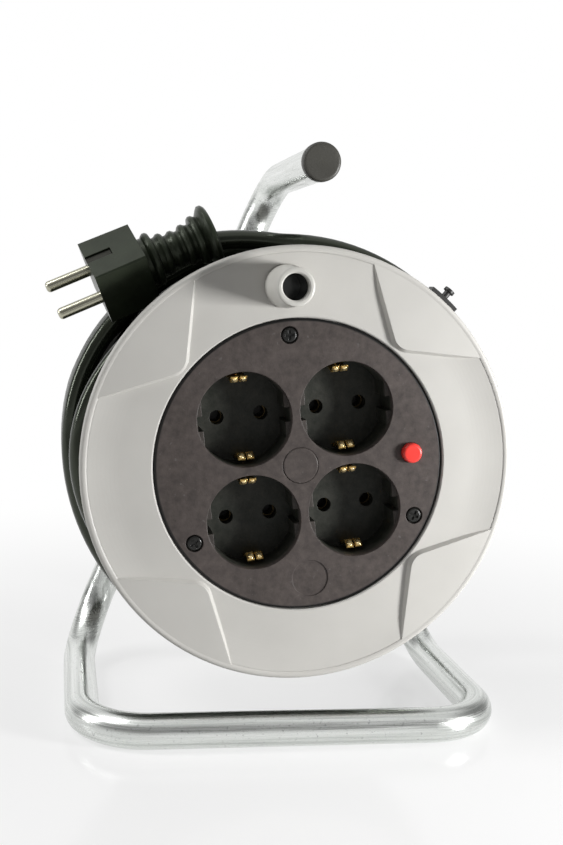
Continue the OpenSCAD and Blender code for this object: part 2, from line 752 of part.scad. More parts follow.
// Hollow pin pressed into the flange, with a snap bead near its top
module knob_pin() {
    color("black") drum_frame() at_polar(knob_r, 90) rotate_extrude() polygon([[0, flange_back + 0.2],
        [3.95, flange_back + 0.2],
        [3.95, knob_seat + 0.3], [pin_r, knob_seat + 0.8], [pin_r, pin_top - 3.4], [snap_r, pin_top - 2.6],
        [snap_r, pin_top - 1.6], [pin_r - 0.3, pin_top], [knob_hole_d / 2 - 0.1, pin_top],
        [knob_hole_d / 2 - 0.1, 4], [0, 4]]);
}

module winding_knob() {
    r = knob_d / 2;
    round_r = 1;
    mouth = 0.6;
    color("lightgray") drum_frame() at_polar(knob_r, 90) rotate_extrude() polygon(concat(
        [[knob_bore_r, knob_base], [knob_foot_r - 0.4, knob_base], [knob_foot_r, knob_base + 0.4]],
        arc([r - round_r, knob_tip - round_r], round_r, 0, 90, 6),
        [[knob_hole_d / 2 + mouth, knob_tip], [knob_hole_d / 2, knob_tip - mouth],
         [knob_hole_d / 2, pin_top + air],
         [knob_bore_r, pin_top + air], [knob_bore_r, pin_top - 0.6], [snap_r + seat, pin_top - 1.5],
         [snap_r + seat, pin_top - 2.8], [knob_bore_r, pin_top - 3.7]]));
}

// Clip hooked over the flange's rim, with a headed peg for the cable's tie
module cable_clip() {
    span = 8.6;
    clip_angle = 43;
    inner = flange_r + air;
    outer = inner + 2;
    front = -1.5;
    back = flange_back - 2.4;
    leg_in = under_layer_r + cord_r + air;
    peg_r = 1.5;
    color("black") drum_frame() rotate([0, 0, clip_angle]) {
        rotate([0, 0, -span / 2]) translate([0, 0, back]) {
            rotate_extrude(angle = span) translate([inner, 0]) square([outer - inner, front - back]);
            rotate_extrude(angle = span) translate([leg_in, 0])
                square([outer - leg_in, flange_back - seat - back]);
        }
        translate([outer - 0.8, 0, (front + back) / 2]) rotate([0, 90, 0]) {
            cylinder(r = peg_r, h = 4.5);
            translate([0, 0, 3.6]) cylinder(r = peg_r + 0.9, h = 1.3);
        }
    }
}

// Cable inside the drum: through the barrel's wall, round a bend and into the socket cover
module inner_lead() {
    across = barrel_r - 0.4 - lead_r - lead_bend;
    ahead = cover_back + cover_wall - lead_back - lead_bend;
    color([0.12, 0.12, 0.12]) drum_frame() rotate([0, 0, lead_angle]) translate([lead_r, 0, lead_back]) {
        translate([lead_bend, 0, 0]) rotate([0, 90, 0]) cylinder(d = cord_d, h = across);
        translate([lead_bend, 0, lead_bend]) rotate([-90, 90, 0]) bend(lead_bend, cord_d);
        translate([0, 0, lead_bend]) cylinder(d = cord_d, h = ahead);
    }
}

module cord_clamp() {
    size = [8, 17, cord_d + 2.4];
    outer = sqrt(pow(spigot_r, 2) - pow(size[1] / 2, 2));
    color("black") drum_frame() rotate([0, 0, lead_angle]) difference() {
        translate([outer - size[0], -size[1] / 2, lead_back - size[2] / 2]) cube(size);
        translate([lead_r, 0, lead_back]) rotate([0, 90, 0]) cylinder(r = cord_r + seat, h = barrel_r);
    }
}

// Wound cable

// The tube's round at one point of its middle line
function ring_at(p, t) =
    let (n = unit(cross(t, [0, 1, 0])), b = cross(n, t))
    [for (k = [0:5]) p + cord_r * (cos(60 * k) * n + sin(60 * k) * b)];

function tangent_at(pts, i) = unit(pts[min(i + 1, len(pts) - 1)] - pts[max(i - 1, 0)]);

// One unbroken tube along a line of points, whose first and last runs are straight
module tube(pts) {
    last = len(pts) - 1;
    tangents = [for (i = [0:last]) i <= 1 ? unit(pts[1] - pts[0])
        : i >= last - 1 ? unit(pts[last] - pts[last - 1]) : tangent_at(pts, i)];
    points = [for (i = [0:last], v = ring_at(pts[i], tangents[i])) v];
    sides = [for (i = [0:last - 1], k = [0:5])
        let (a = i * 6 + k, b = i * 6 + (k + 1) % 6) each [[a, a + 6, b], [b, a + 6, b + 6]]];
    ends = [for (k = [1:4]) each [[0, k, k + 1], [last * 6, last * 6 + k + 1, last * 6 + k]]];
    polyhedron(points, concat(sides, ends));
}

// Least distance between points of a tube that are half a turn or more apart, less the cable's diameter
function least_gap(pts) =
    min([for (i = [0:len(pts) - 1], j = [i + 12:1:len(pts) - 1]) norm(pts[i] - pts[j])]) - cord_d;

// Outer turns: out of the plug, over the top, across to the back in one turn, and round to the rear flange.
// They bulge a little under the plug.
function outer_y(a) = a > cross_to
    ? lead_last_y + (outer_first_y - lead_last_y) * (lead_out_a - a) / (lead_out_a - cross_to)
    : outer_first_y + turn_pitch * (cross_to - a) / 360;
function outer_r(a) = let (off = ((a - bulge_at + 180) % 360 + 360) % 360 - 180)
    outer_layer_r + outer_bulge * exp(-pow(off / bulge_span, 2));
function lead_point(c, a, u) = let (v = c + lead_turn_r * [cos(a), sin(a)])
    [v[0], lead_first[1] + (lead_last_y - lead_first[1]) * u, v[1]];
lead_in_points = [for (i = [1:4])
    lead_point(lead_in, plug_slope + 90 + (lead_mid_a - plug_slope - 90) * i / 4, i / 7)];
lead_out_points = [for (i = [1:3])
    lead_point(lead_out, lead_mid_a + 180 + (lead_out_a - lead_mid_a) * i / 3, (4 + i) / 7)];
outer_rings = [for (a = [cross_from:-turn_step:outer_last]) spot(a, outer_r(a), outer_y(a))];
outer_end = outer_rings[len(outer_rings) - 1] + clockwise(outer_last) * cord_d;
outer_points = concat([lead_seat, lead_first], lead_in_points, lead_out_points, outer_rings, [outer_end]);

// Turns of the layer below, which show between the front flange and the outer turns
under_rings = [for (i = [0:under_steps])
    spot(under_from + turn_step * i, under_layer_r, under_first_y + turn_pitch * turn_step * i / 360)];
under_last = under_from + turn_step * under_steps;
under_start = under_rings[0] + clockwise(under_from) * cord_d;
under_end = under_rings[under_steps] - clockwise(under_last) * cord_d;
under_points = concat([under_start], under_rings, [under_end]);

echo(str("Least gap between outer turns, mm: ", least_gap(outer_points)));
echo(str("Least gap between under turns, mm: ", least_gap(under_points)));

module cable_winding() {
    color([0.1, 0.11, 0.1]) cable_frame() tube(outer_points);
}

module cable_layer() {
    color([0.1, 0.11, 0.1]) cable_frame() tube(under_points);
}

// Where a tube comes up from the layer below: a ramp that ends square to the tube
module climb(end, a, core_r, way) {
    out = [cos(a), sin(a)];
    at = [end[0], end[2]];
    top = at + out * (cord_r - climb_drop);
    top_r = norm(top);
    top_a = atan2(top[1], top[0]);
    low = core_r - 2;
    steps = 8;
    translate([0, end[1] + climb_w / 2, 0]) rotate([90, 0, 0]) linear_extrude(climb_w)
        polygon(concat([at - out * (norm(at) - low), top],
            [for (i = [1:steps])
                polar(top_r + (core_r - 0.5 - top_r) * i / steps, top_a + way * climb_span * i / steps)],
            [polar(low, top_a + way * climb_span)]));
}

// The layers underneath, as a plain core with its step and the ramps at the tubes' ends
module cable_core() {
    front = -flange_t - air;
    back = rear_face + air;
    inner = barrel_r + air;
    color([0.08, 0.08, 0.08]) cable_frame() {
        rotate([90, 0, 0]) rotate_extrude() polygon([[inner, back], [inner, front], [core_front_r, front],
            [core_front_r, -core_step_y], [core_rear_r, -core_step_y], [core_rear_r, back]]);
        climb(outer_end, outer_last, core_rear_r, -1);
        climb(under_end, under_last, core_front_r, 1);
        climb(under_start, under_from, core_front_r, -1);
    }
}

// Plug

// Moulded body with a square front part, and a ribbed neck whose end opens like a bell round the cable
module plug_body() {
    end = plug_len + neck_len;
    rib_z = [for (i = [0:len(rib_r) - 1]) plug_len + rib_first + i * rib_step];
    ribs = [for (i = [0:len(rib_r) - 1]) each [
        [groove_r[i], rib_z[i] - 2.1], [rib_r[i] - 0.6, rib_z[i] - 1.4],
        [rib_r[i], rib_z[i] - 0.6], [rib_r[i], rib_z[i] + 0.5], [rib_r[i] - 0.6, rib_z[i] + 1.3],
        [groove_r[i + 1], rib_z[i] + 2]]];
    bell_r = cord_r + 0.4;
    color([0.12, 0.14, 0.13]) plug_frame() difference() {
        union() {
            intersection() {
                translate([-plug_half, -plug_half, 0]) cube([2 * plug_half, 2 * plug_half, plug_len]);
                cylinder(r1 = plug_front_r, r2 = plug_back_r, h = plug_len);
            }
            rotate_extrude() polygon(concat([[0, plug_len - 2], [groove_r[0], plug_len - 2]], ribs,
                [[plug_end_r - 1.2, end - 3.2], [plug_end_r, end - 2.2],
                 [plug_end_r, end - 0.9], [plug_end_r - 0.9, end],
                 [bell_r + 5.6, end], [bell_r + 2.4, end - 5.8],
                 [bell_r + 0.7, end - 11.8], [bell_r, end - 17],
                 [bell_r, bell_floor], [0, bell_floor]]));
        }
        for (s = [-1, 1]) {
            translate([s * pin_pitch / 2, 0, -over]) cylinder(d = contact_d + seat, h = contact_seat + over);
            translate([-earth_slot / 2, s * plug_half - 1.7, -over]) cube([earth_slot, 3.4, 11 + over]);
        }
    }
}

module plug_pins() {
    color("silver") plug_frame() for (s = [-1, 1]) translate([s * pin_pitch / 2, 0, -contact_len])
        rotate_extrude()
        polygon(concat([[0, 0]], arc([contact_d / 2 - 1.6, 1.6], 1.6, -90, 0, 6),
            [[contact_d / 2, contact_len + contact_seat - seat], [0, contact_len + contact_seat - seat]]));
}

module plug_earth() {
    strip = [earth_slot - 0.4, 0.9, 10.8];
    color("silver") plug_frame() for (s = [-1, 1])
        translate([-strip[0] / 2, s * (plug_half - 1.2) - strip[1] / 2, 0]) cube(strip);
}

stand_tube();
handle_cap();
leg_cap();
axle_bracket();
bracket_screws();
axle();
axle_nut();
axle_washer();
axle_ring();
front_flange();
drum_barrel();
rear_flange();
hub_bush();
drum_screws();
socket_plate();
plate_screws();
centre_cap();
earth_clip(socket_places[0]);  // earth_clip_1
earth_clip(socket_places[1]);  // earth_clip_2
earth_clip(socket_places[2]);  // earth_clip_3
earth_clip(socket_places[3]);  // earth_clip_4
color("peru") busbar(-1, line_depth, bar_cross);  // line_bar
color("peru") busbar(1, neutral_depth, -bar_cross);  // neutral_bar
socket_cover();
cover_screw();
thermal_cutout();
reset_button();
knob_pin();
winding_knob();
cable_clip();
cord_clamp();
inner_lead();
cable_core();
cable_layer();
cable_winding();
plug_body();
plug_pins();
plug_earth();
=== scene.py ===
import math

import bmesh
import bpy
from mathutils import Matrix, Vector


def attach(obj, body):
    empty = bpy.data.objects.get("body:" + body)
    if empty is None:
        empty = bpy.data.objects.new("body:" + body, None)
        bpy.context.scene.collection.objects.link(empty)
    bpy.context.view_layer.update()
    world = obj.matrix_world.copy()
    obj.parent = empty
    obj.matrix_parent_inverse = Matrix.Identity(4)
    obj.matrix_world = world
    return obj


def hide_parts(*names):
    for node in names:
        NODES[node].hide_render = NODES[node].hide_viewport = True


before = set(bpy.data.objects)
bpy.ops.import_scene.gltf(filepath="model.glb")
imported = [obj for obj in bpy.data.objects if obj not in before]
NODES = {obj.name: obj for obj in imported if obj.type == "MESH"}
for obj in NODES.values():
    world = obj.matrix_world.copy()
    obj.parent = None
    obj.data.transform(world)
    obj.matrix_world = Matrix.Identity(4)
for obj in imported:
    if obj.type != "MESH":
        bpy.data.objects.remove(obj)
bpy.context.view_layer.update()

scene = bpy.context.scene
scene.view_settings.view_transform = "Standard"

# Where the drum's axis meets the socket plate's face, in metres, and how far the drum is turned at rest
AXIS = Vector((-0.0036, -0.05405, 0.1205))
TURN = math.radians(7.9)

# Camera fitted to the photograph: in mm from AXIS, in degrees, in pixels, and the sensor in mm
CAMERA_AT = (-101.3, -469.9, 73.7)
CAMERA_YAW, CAMERA_PITCH, CAMERA_ROLL = 11.11, 6.67, 2.89
FOCAL_PX, PICTURE_PX, SENSOR = 1173.6, 845, 24


def mm(*v):
    return Vector(v) * 0.001


def make_camera():
    yaw, pitch, roll = (math.radians(a) for a in (CAMERA_YAW, CAMERA_PITCH, CAMERA_ROLL))
    ahead = Vector((math.sin(yaw) * math.cos(pitch), math.cos(yaw) * math.cos(pitch), -math.sin(pitch)))
    flat = Vector((math.cos(yaw), -math.sin(yaw), 0))
    rise = flat.cross(ahead)
    right = math.cos(roll) * flat + math.sin(roll) * rise
    up = -math.sin(roll) * flat + math.cos(roll) * rise
    data = bpy.data.cameras.new("camera")
    data.sensor_fit = "VERTICAL"
    data.sensor_height = SENSOR
    data.lens = FOCAL_PX / PICTURE_PX * SENSOR
    data.clip_start = 0.01
    cam = bpy.data.objects.new("camera", data)
    turned = Matrix((right, up, -ahead)).transposed().to_4x4()
    cam.matrix_world = Matrix.Translation(AXIS + mm(*CAMERA_AT)) @ turned
    scene.collection.objects.link(cam)
    scene.camera = cam


class Graph:
    """Adds the nodes of one shader tree and links them."""

    def __init__(self, tree):
        self.tree = tree

    def add(self, kind, **inputs):
        node = self.tree.nodes.new(kind)
        for key, value in inputs.items():
            node.inputs[key.replace("_", " ")].default_value = value
        return node

    def link(self, a, b):
        self.tree.links.new(a, b)

    def math(self, op, *values):
        node = self.add("ShaderNodeMath")
        node.operation = op
        for socket, value in zip(node.inputs, values):
            if isinstance(value, (int, float)):
                socket.default_value = value
            else:
                self.link(value, socket)
        return node.outputs[0]

    def vector(self, op, a, b=None):
        node = self.add("ShaderNodeVectorMath")
        node.operation = op
        self.link(a, node.inputs[0])
        if b is not None:
            node.inputs[1].default_value = b
        return node.outputs["Value" if op == "LENGTH" else "Vector"]

    def xyz(self, vector):
        node = self.add("ShaderNodeSeparateXYZ")
        self.link(vector, node.inputs[0])
        return node.outputs

    def span(self, value, lo, hi, start=0.3, end=0.7, smooth=False):
        """Goes from lo to hi while value goes from start to end."""
        node = self.add("ShaderNodeMapRange", From_Min=start, From_Max=end, To_Min=lo, To_Max=hi)
        if smooth:
            node.interpolation_type = "SMOOTHSTEP"
        self.link(value, node.inputs["Value"])
        return node.outputs["Result"]


class Material(Graph):
    """A material whose textures are laid out in metres in the object's own frame."""

    def __init__(self, name):
        self.mat = bpy.data.materials.new(name)
        self.mat.use_nodes = True
        super().__init__(self.mat.node_tree)
        self.shader = self.tree.nodes["Principled BSDF"]
        self.coord = self.add("ShaderNodeTexCoord").outputs["Object"]

    def noise(self, scale, detail=4.0, rough=0.55, layout=None):
        node = self.add("ShaderNodeTexNoise", Scale=scale, Detail=detail, Roughness=rough)
        self.link(self.coord if layout is None else layout, node.inputs["Vector"])
        return node.outputs["Fac"]

    def ramp(self, value, *stops):
        node = self.add("ShaderNodeValToRGB")
        elements = node.color_ramp.elements
        while len(elements) < len(stops):
            elements.new(0.5)
        for element, (position, color) in zip(elements, stops):
            element.position = position
            element.color = (*color, 1)
        self.link(value, node.inputs["Fac"])
        return node.outputs["Color"]

    def mix(self, amount, a, b, kind="MIX"):
        node = self.add("ShaderNodeMix")
        node.data_type = "RGBA"
        node.blend_type = kind
        if isinstance(amount, float):
            node.inputs["Factor"].default_value = amount
        else:
            self.link(amount, node.inputs["Factor"])
        for socket, value in ((node.inputs[6], a), (node.inputs[7], b)):
            if isinstance(value, tuple):
                socket.default_value = (*value, 1)
            else:
                self.link(value, socket)
        return node.outputs[2]

    def rounded(self, radius):
        """A normal that shades sharp edges as if they were rounded."""
        node = self.add("ShaderNodeBevel", Radius=radius)
        node.samples = 4
        return node.outputs["Normal"]

    def bump(self, height, strength, distance, normal=None):
        node = self.add("ShaderNodeBump", Strength=strength, Distance=distance)
        self.link(height, node.inputs["Height"])
        if normal:
            self.link(normal, node.inputs["Normal"])
        return node.outputs["Normal"]

    def finish(self, color, rough, normal=None, **sockets):
        for source, key in ((color, "Base Color"), (rough, "Roughness"), (normal, "Normal")):
            if source is not None:
                self.link(source, self.shader.inputs[key])
        for key, value in sockets.items():
            self.shader.inputs[key.replace("_", " ")].default_value = value
        return self.mat


def scaled(color, k):
    return tuple(min(1.0, c * k) for c in color)


PLASTIC_EDGE = 0.0004
METAL_STREAKS = 300.0


def plastic(name, color, rough=0.45, vary=0.06, grain=1400.0, bump=0.08, blotch=45.0, dust=0.0, **sockets):
    """Moulded plastic: soft colour drift, fine grain, uneven gloss and a little pale dust."""
    m = Material(name)
    drift = m.noise(blotch, 3.0)
    shade = m.ramp(drift, (0.3, scaled(color, 1 - vary)), (0.7, scaled(color, 1 + vary)))
    if dust:
        specks = m.ramp(m.noise(520.0, 2.0), (0.68, (0, 0, 0)), (0.74, (dust, dust, dust)))
        shade = m.mix(specks, shade, tuple(min(1.0, c * 2.2 + 0.05) for c in color))
    fine = m.noise(grain, 2.0)
    gloss = m.span(m.noise(blotch * 2.3, 4.0), rough - 0.06, rough + 0.06)
    return m.finish(shade, gloss, m.bump(fine, bump, 0.0003, m.rounded(PLASTIC_EDGE)), **sockets)


def metal(name, color, rough=0.25, vary=0.15, bump=0.05, edge=0.0003, metallic=1.0, spread=0.09):
    """Plain metal with a mottled tone and gloss."""
    m = Material(name)
    mottle = m.noise(METAL_STREAKS, 5.0)
    shade = m.ramp(mottle, (0.3, scaled(color, 1 - vary)), (0.65, color), (0.8, scaled(color, 1 + vary * 0.5)))
    gloss = m.span(m.noise(METAL_STREAKS * 0.6, 4.0), rough - spread, rough + spread)
    normal = m.bump(mottle, bump, 0.0002, m.rounded(edge) if edge else None)
    return m.finish(shade, gloss, normal, Metallic=metallic)


# Socket plate, in metres: the radii between which painted shade darkens its edge groove, and the depths behind its
# face between which painted shade darkens its wells
GROOVE_SHADE_FROM, GROOVE_SHADE_TO = 0.0594, 0.06
WELL_SHADE_FROM, WELL_SHADE_TO = 0.001, 0.004


def socket_plastic():
    """The socket plate's dark plastic: grained and a little dusty, with painted shade that makes it blacker in its
    wells and edge groove.
    """
    m = Material("dark_plastic")
    place = m.vector("SUBTRACT", m.coord, AXIS)
    reach = m.vector("LENGTH", m.vector("MULTIPLY", place, (1, 0, 1)))
    # Painted shade: the edge groove goes near black, and below the face the wells take a darker colour
    groove_shade = m.span(reach, 0.0, 1.0, GROOVE_SHADE_FROM, GROOVE_SHADE_TO)
    well_shade = m.span(m.xyz(place)[1], 0.0, 1.0, WELL_SHADE_FROM, WELL_SHADE_TO)
    face = m.ramp(m.noise(60.0, 3.0), (0.3, (0.061, 0.0515, 0.0475)), (0.7, (0.077, 0.065, 0.0605)))
    mottle = m.ramp(m.noise(260.0, 5.0, 0.65), (0.32, (0.74, 0.73, 0.74)), (0.68, (1.26, 1.24, 1.22)))
    face = m.mix(1.0, face, mottle, "MULTIPLY")
    specks = m.ramp(m.noise(480.0, 2.0), (0.67, (0, 0, 0)), (0.73, (0.5, 0.5, 0.5)))
    face = m.mix(specks, face, (0.13, 0.12, 0.115))
    # Painted shade for the wells' floors and walls, darker than the face's own colour
    inside = m.ramp(m.noise(210.0, 5.0, 0.65), (0.34, (0.019, 0.021, 0.016)), (0.7, (0.05, 0.05, 0.042)))
    shade = m.mix(groove_shade, m.mix(well_shade, face, inside), (0.012, 0.012, 0.012))
    gloss = m.span(m.noise(130.0, 4.0), 0.4, 0.52)
    normal = m.bump(m.noise(1500.0, 2.0), 0.16, 0.0003, m.rounded(0.0005))
    return m.finish(shade, gloss, normal, Specular_IOR_Level=0.25)


# Stand tube, in metres: centres of the base's front bends, their radius, the tube's middle, and the heights
# between which the streaks change over to the legs and to the grip
BEND_X, BEND_Y, BEND_R, TUBE_MID = 0.061, -0.02605, 0.028, 0.0075
LEGS_FROM, LEGS_TO = 0.016, 0.026
GRIP_FROM, GRIP_TO = 0.222, 0.232
STREAK_ACROSS, STREAK_ALONG = 2.5, 0.1


def tube_zinc():
    """Bright zinc plate on a drawn tube: streaks along the base bars, the legs and the grip, and small pits."""
    m = Material("zinc_tube")
    x, y, z = m.xyz(m.coord)

    # Distance across the base's rounded outline, and with it the angle round the tube
    side = m.math("MAXIMUM", m.math("SUBTRACT", m.math("ABSOLUTE", x), BEND_X), 0.0)
    front = m.math("MAXIMUM", m.math("SUBTRACT", BEND_Y, y), 0.0)
    far = m.math("SQRT", m.math("ADD", m.math("POWER", side, 2.0), m.math("POWER", front, 2.0)))
    around = m.math("ARCTAN2", m.math("SUBTRACT", z, TUBE_MID), m.math("SUBTRACT", far, BEND_R))
    base = m.add("ShaderNodeCombineXYZ")
    m.link(m.math("MULTIPLY", around, 0.03), base.inputs[0])
    m.link(m.math("MULTIPLY", m.math("ADD", x, y), 0.06), base.inputs[1])

    def stretched(*scale):
        node = m.add("ShaderNodeMapping", Scale=scale)
        m.link(m.coord, node.inputs["Vector"])
        return node.outputs[0]

    def above(start, end, below, over):
        node = m.add("ShaderNodeMix")
        node.data_type = "VECTOR"
        m.link(m.span(z, 0.0, 1.0, start, end), node.inputs["Factor"])
        m.link(below, node.inputs[4])
        m.link(over, node.inputs[5])
        return node.outputs[1]

    legs = stretched(STREAK_ACROSS, STREAK_ACROSS, STREAK_ALONG)
    grip = stretched(STREAK_ACROSS, STREAK_ALONG, STREAK_ACROSS)
    layout = above(GRIP_FROM, GRIP_TO, above(LEGS_FROM, LEGS_TO, base.outputs[0], legs), grip)
    wide = m.noise(90.0, 5.0, 0.6, layout)
    fine = m.noise(420.0, 3.0, 0.6, layout)
    pits = m.ramp(m.noise(700.0, 3.0), (0.62, (0, 0, 0)), (0.7, (1, 1, 1)))
    shade = m.ramp(wide, (0.3, (0.4, 0.42, 0.4)), (0.5, (0.68, 0.7, 0.675)), (0.7, (0.81, 0.825, 0.805)))
    shade = m.mix(pits, shade, (0.45, 0.46, 0.45))
    gloss = m.span(fine, 0.17, 0.36)
    normal = m.bump(pits, 0.06, 0.0002, m.bump(fine, 0.16, 0.0002))
    return m.finish(shade, gloss, normal, Metallic=1.0)


GREENISH = (0.86, 0.95, 0.76, 1)
MATS = {
    "grey": plastic("grey_plastic", (0.545, 0.533, 0.502), rough=0.42, vary=0.025, grain=2200.0, bump=0.05),
    "knob": plastic("knob_plastic", (0.6, 0.59, 0.55), rough=0.36, vary=0.03, grain=1800.0, bump=0.04),
    "dark": socket_plastic(),
    "black": plastic("black_plastic", (0.016, 0.016, 0.015), rough=0.38, vary=0.2, grain=1500.0, bump=0.1),
    "screw": plastic("screw_black", (0.009, 0.009, 0.008), rough=0.3, vary=0.2, grain=1500.0, bump=0.05,
                     Specular_IOR_Level=0.35),
    "pin": plastic("pin_plastic", (0.03, 0.033, 0.027), rough=0.16, vary=0.2, grain=1500.0, bump=0.05),
    "cap": plastic("cap_plastic", (0.052, 0.05, 0.042), rough=0.45, vary=0.2, grain=1200.0, bump=0.15),
    "cable": plastic("cable_rubber", (0.012, 0.014, 0.01), rough=0.17, vary=0.2, grain=900.0, bump=0.03,
                     blotch=80.0, Specular_Tint=GREENISH),
    "plug": plastic("plug_rubber", (0.014, 0.018, 0.011), rough=0.34, vary=0.3, grain=1300.0, bump=0.1,
                    blotch=90.0, dust=0.25, Specular_Tint=GREENISH, Specular_IOR_Level=0.38),
    "red": plastic("red_plastic", (0.84, 0.046, 0.034), rough=0.3, vary=0.05, bump=0.03),
    "nylon": plastic("nylon", (0.72, 0.68, 0.58), rough=0.4),
    "phenolic": plastic("phenolic", (0.1, 0.05, 0.025), rough=0.4, vary=0.2),
    "zinc": tube_zinc(),
    "steel": metal("zinc_steel", (0.55, 0.55, 0.56), rough=0.3, vary=0.2),
    "brass": metal("brass", (1.0, 0.68, 0.24), rough=0.28, vary=0.12, edge=0.0011, metallic=0.75),
    # The contact pads' brass is a lighter copy of the clips' brass: painted highlight
    "contact": metal("brass_painted_highlight", (1.0, 0.79, 0.42), rough=0.2, vary=0.08, bump=0.01, edge=0, metallic=0.75),
    "nickel": metal("nickel", (0.44, 0.43, 0.34), rough=0.2, vary=0.06, bump=0.0, edge=0, spread=0.01),
    # The line and neutral bars' brass is darkened nearly to black: painted shade, for their place deep behind the
    # pin holes
    "bar": metal("brass_painted_shade", (0.13, 0.095, 0.045), rough=0.45, vary=0.2),
    # The plug's earth strips are darkened nearly to black: painted shade, for their recess in the plug's side
    "earth": metal("steel_painted_shade", (0.035, 0.035, 0.03), rough=0.4, vary=0.2),
}

USE = {
    "zinc": ["stand_tube"],
    "cap": ["handle_cap", "leg_cap"],
    "steel": ["axle_bracket", "bracket_screws", "axle", "axle_nut", "axle_washer", "axle_ring", "drum_screws",
              "cover_screw"],
    "grey": ["front_flange", "rear_flange"],
    "black": ["drum_barrel", "socket_cover", "cable_clip", "cord_clamp"],
    "nylon": ["hub_bush"],
    "dark": ["socket_plate", "centre_cap"],
    "screw": ["plate_screws"],
    "brass": ["earth_clip_1", "earth_clip_2", "earth_clip_3", "earth_clip_4"],
    "bar": ["line_bar", "neutral_bar"],
    "phenolic": ["thermal_cutout"],
    "red": ["reset_button"],
    "pin": ["knob_pin"],
    "knob": ["winding_knob"],
    "cable": ["inner_lead", "cable_core", "cable_layer", "cable_winding"],
    "plug": ["plug_body"],
    "nickel": ["plug_pins"],
    "earth": ["plug_earth"],
}


def dress_nodes():
    for key, names in USE.items():
        for name in names:
            data = NODES[name].data
            if not data.materials:
                data.materials.append(MATS[key])
            for slot in NODES[name].material_slots:
                slot.material = MATS[key]


# Cable: one line from the barrel's hole through all its turns to the plug, in mm from AXIS.
# Angles are in degrees, grow from the inside out, and the plug lies at the last ones.
CORD_D = 8.4
PLUG_FRONT = Vector((-85.7, 24.0, 70.5))
PLUG_SLOPE, PLUG_YAW = math.radians(25.5), math.radians(1.2)
PLUG_AXIS = Vector((math.cos(PLUG_SLOPE) * math.cos(PLUG_YAW), math.sin(PLUG_YAW),
                    math.sin(PLUG_SLOPE) * math.cos(PLUG_YAW)))
# The lead along the plug's axis from the floor of its bell, and its two bends down to the coil
BELL_FLOOR, LEAD_FROM, LEAD_R, LEAD_DEEPER = 27.2, 29.5, 90.0, 4.0
FIRST_STEPS, SECOND_STEPS, FIRST_SHARE = 12, 8, 0.6
# The three layers' radii, and the depths between which they are wound
INNER_R, UNDER_R, OUTER_R = 74.4, 82.1, 91.6
REAR_Y, FRONT_Y, FIRST_Y = 73.7, 9.7, 47.0
PITCH = 8.9
RUN, CLIMB = 2595, 60
OUTER_START, CROSS_TO = -1275, -195
# Where turns stand out: how far, at which angle and over which span, and the depths it holds for
OUTER_BULGE = (2.4, 160, 30)
FRONT_BULGE, FRONT_TO, FRONT_FADE = (8.3, 176, 32), 27, 9
REAR_LIFT, LIFT_FROM, LIFT_SPAN = 0.7, 40, 12


def ease(u):
    u = min(1.0, max(0.0, u))
    return u * u * (3 - 2 * u)


def bulge(a, size, at, span):
    """How far a loose turn stands out at angle a."""
    off = (a - at + 180) % 360 - 180
    return size * math.exp(-(off / span) ** 2)


def under_r(a, y):
    front = bulge(a, *FRONT_BULGE) * ease((FRONT_TO - y) / FRONT_FADE)
    return UNDER_R + REAR_LIFT * ease((y - LIFT_FROM) / LIFT_SPAN) + front


def outer_r(a):
    return OUTER_R + bulge(a, *OUTER_BULGE)


def lead_route():
    """The cable's two bends between the plug and the coil, from the plug out, and the angle where they end."""
    first = PLUG_FRONT + PLUG_AXIS * LEAD_FROM
    up = Vector((-math.sin(PLUG_SLOPE), math.cos(PLUG_SLOPE)))
    inner = Vector((first.x, first.z)) - up * LEAD_R
    far = OUTER_R + LEAD_R
    gap = (inner.length_squared + far * far - 4 * LEAD_R * LEAD_R) / (2 * inner.length * far)
    out_a = math.atan2(inner.y, inner.x) - math.acos(gap)
    outer = Vector((math.cos(out_a), math.sin(out_a))) * far
    mid = outer - inner
    mid_a = math.atan2(mid.y, mid.x)
    start_a = PLUG_SLOPE + math.pi / 2
    pts = [PLUG_FRONT + PLUG_AXIS * BELL_FLOOR, first]
    for centre, a0, a1, n, u0, u1 in (
            (inner, start_a, mid_a, FIRST_STEPS, 0, FIRST_SHARE),
            (outer, mid_a + math.pi, out_a + math.pi, SECOND_STEPS, FIRST_SHARE, 1)):
        for i in range(1, n + 1):
            a = a0 + (a1 - a0) * i / n
            y = first.y + LEAD_DEEPER * (u0 + (u1 - u0) * i / n)
            pts.append(Vector((centre.x + LEAD_R * math.cos(a), y, centre.y + LEAD_R * math.sin(a))))
    return pts, math.degrees(out_a)


def cable_points():
    """Points from the inside out, as (x, depth, z) in mm."""
    lead, lead_a = lead_route()
    last_y = lead[-1].y
    under_end = OUTER_START - CLIMB
    under_start = under_end - RUN
    inner_end = under_start - CLIMB
    inner_start = inner_end - RUN
    angles = list(range(inner_start, under_start, 6)) + list(range(under_start, int(lead_a) - 1, 3))
    pts = []
    for a in angles:
        if a <= inner_end:
            r, y = INNER_R, REAR_Y - (REAR_Y - FRONT_Y) * (a - inner_start) / RUN
        elif a <= under_start:
            r, y = INNER_R + (under_r(a, FRONT_Y) - INNER_R) * ease((a - inner_end) / CLIMB), FRONT_Y
        elif a <= under_end:
            y = FRONT_Y + (REAR_Y - FRONT_Y) * (a - under_start) / RUN
            r = under_r(a, y)
        elif a <= OUTER_START:
            low = under_r(a, REAR_Y)
            r, y = low + (outer_r(a) - low) * ease((a - under_end) / CLIMB), REAR_Y
        elif a <= CROSS_TO:
            r, y = outer_r(a), FIRST_Y + PITCH * (CROSS_TO - a) / 360
        else:
            r, y = outer_r(a), last_y + (FIRST_Y - last_y) * (lead_a - a) / (lead_a - CROSS_TO)
        pts.append(Vector((r * math.cos(math.radians(a)), y, r * math.sin(math.radians(a)))))
    return pts + lead[::-1]


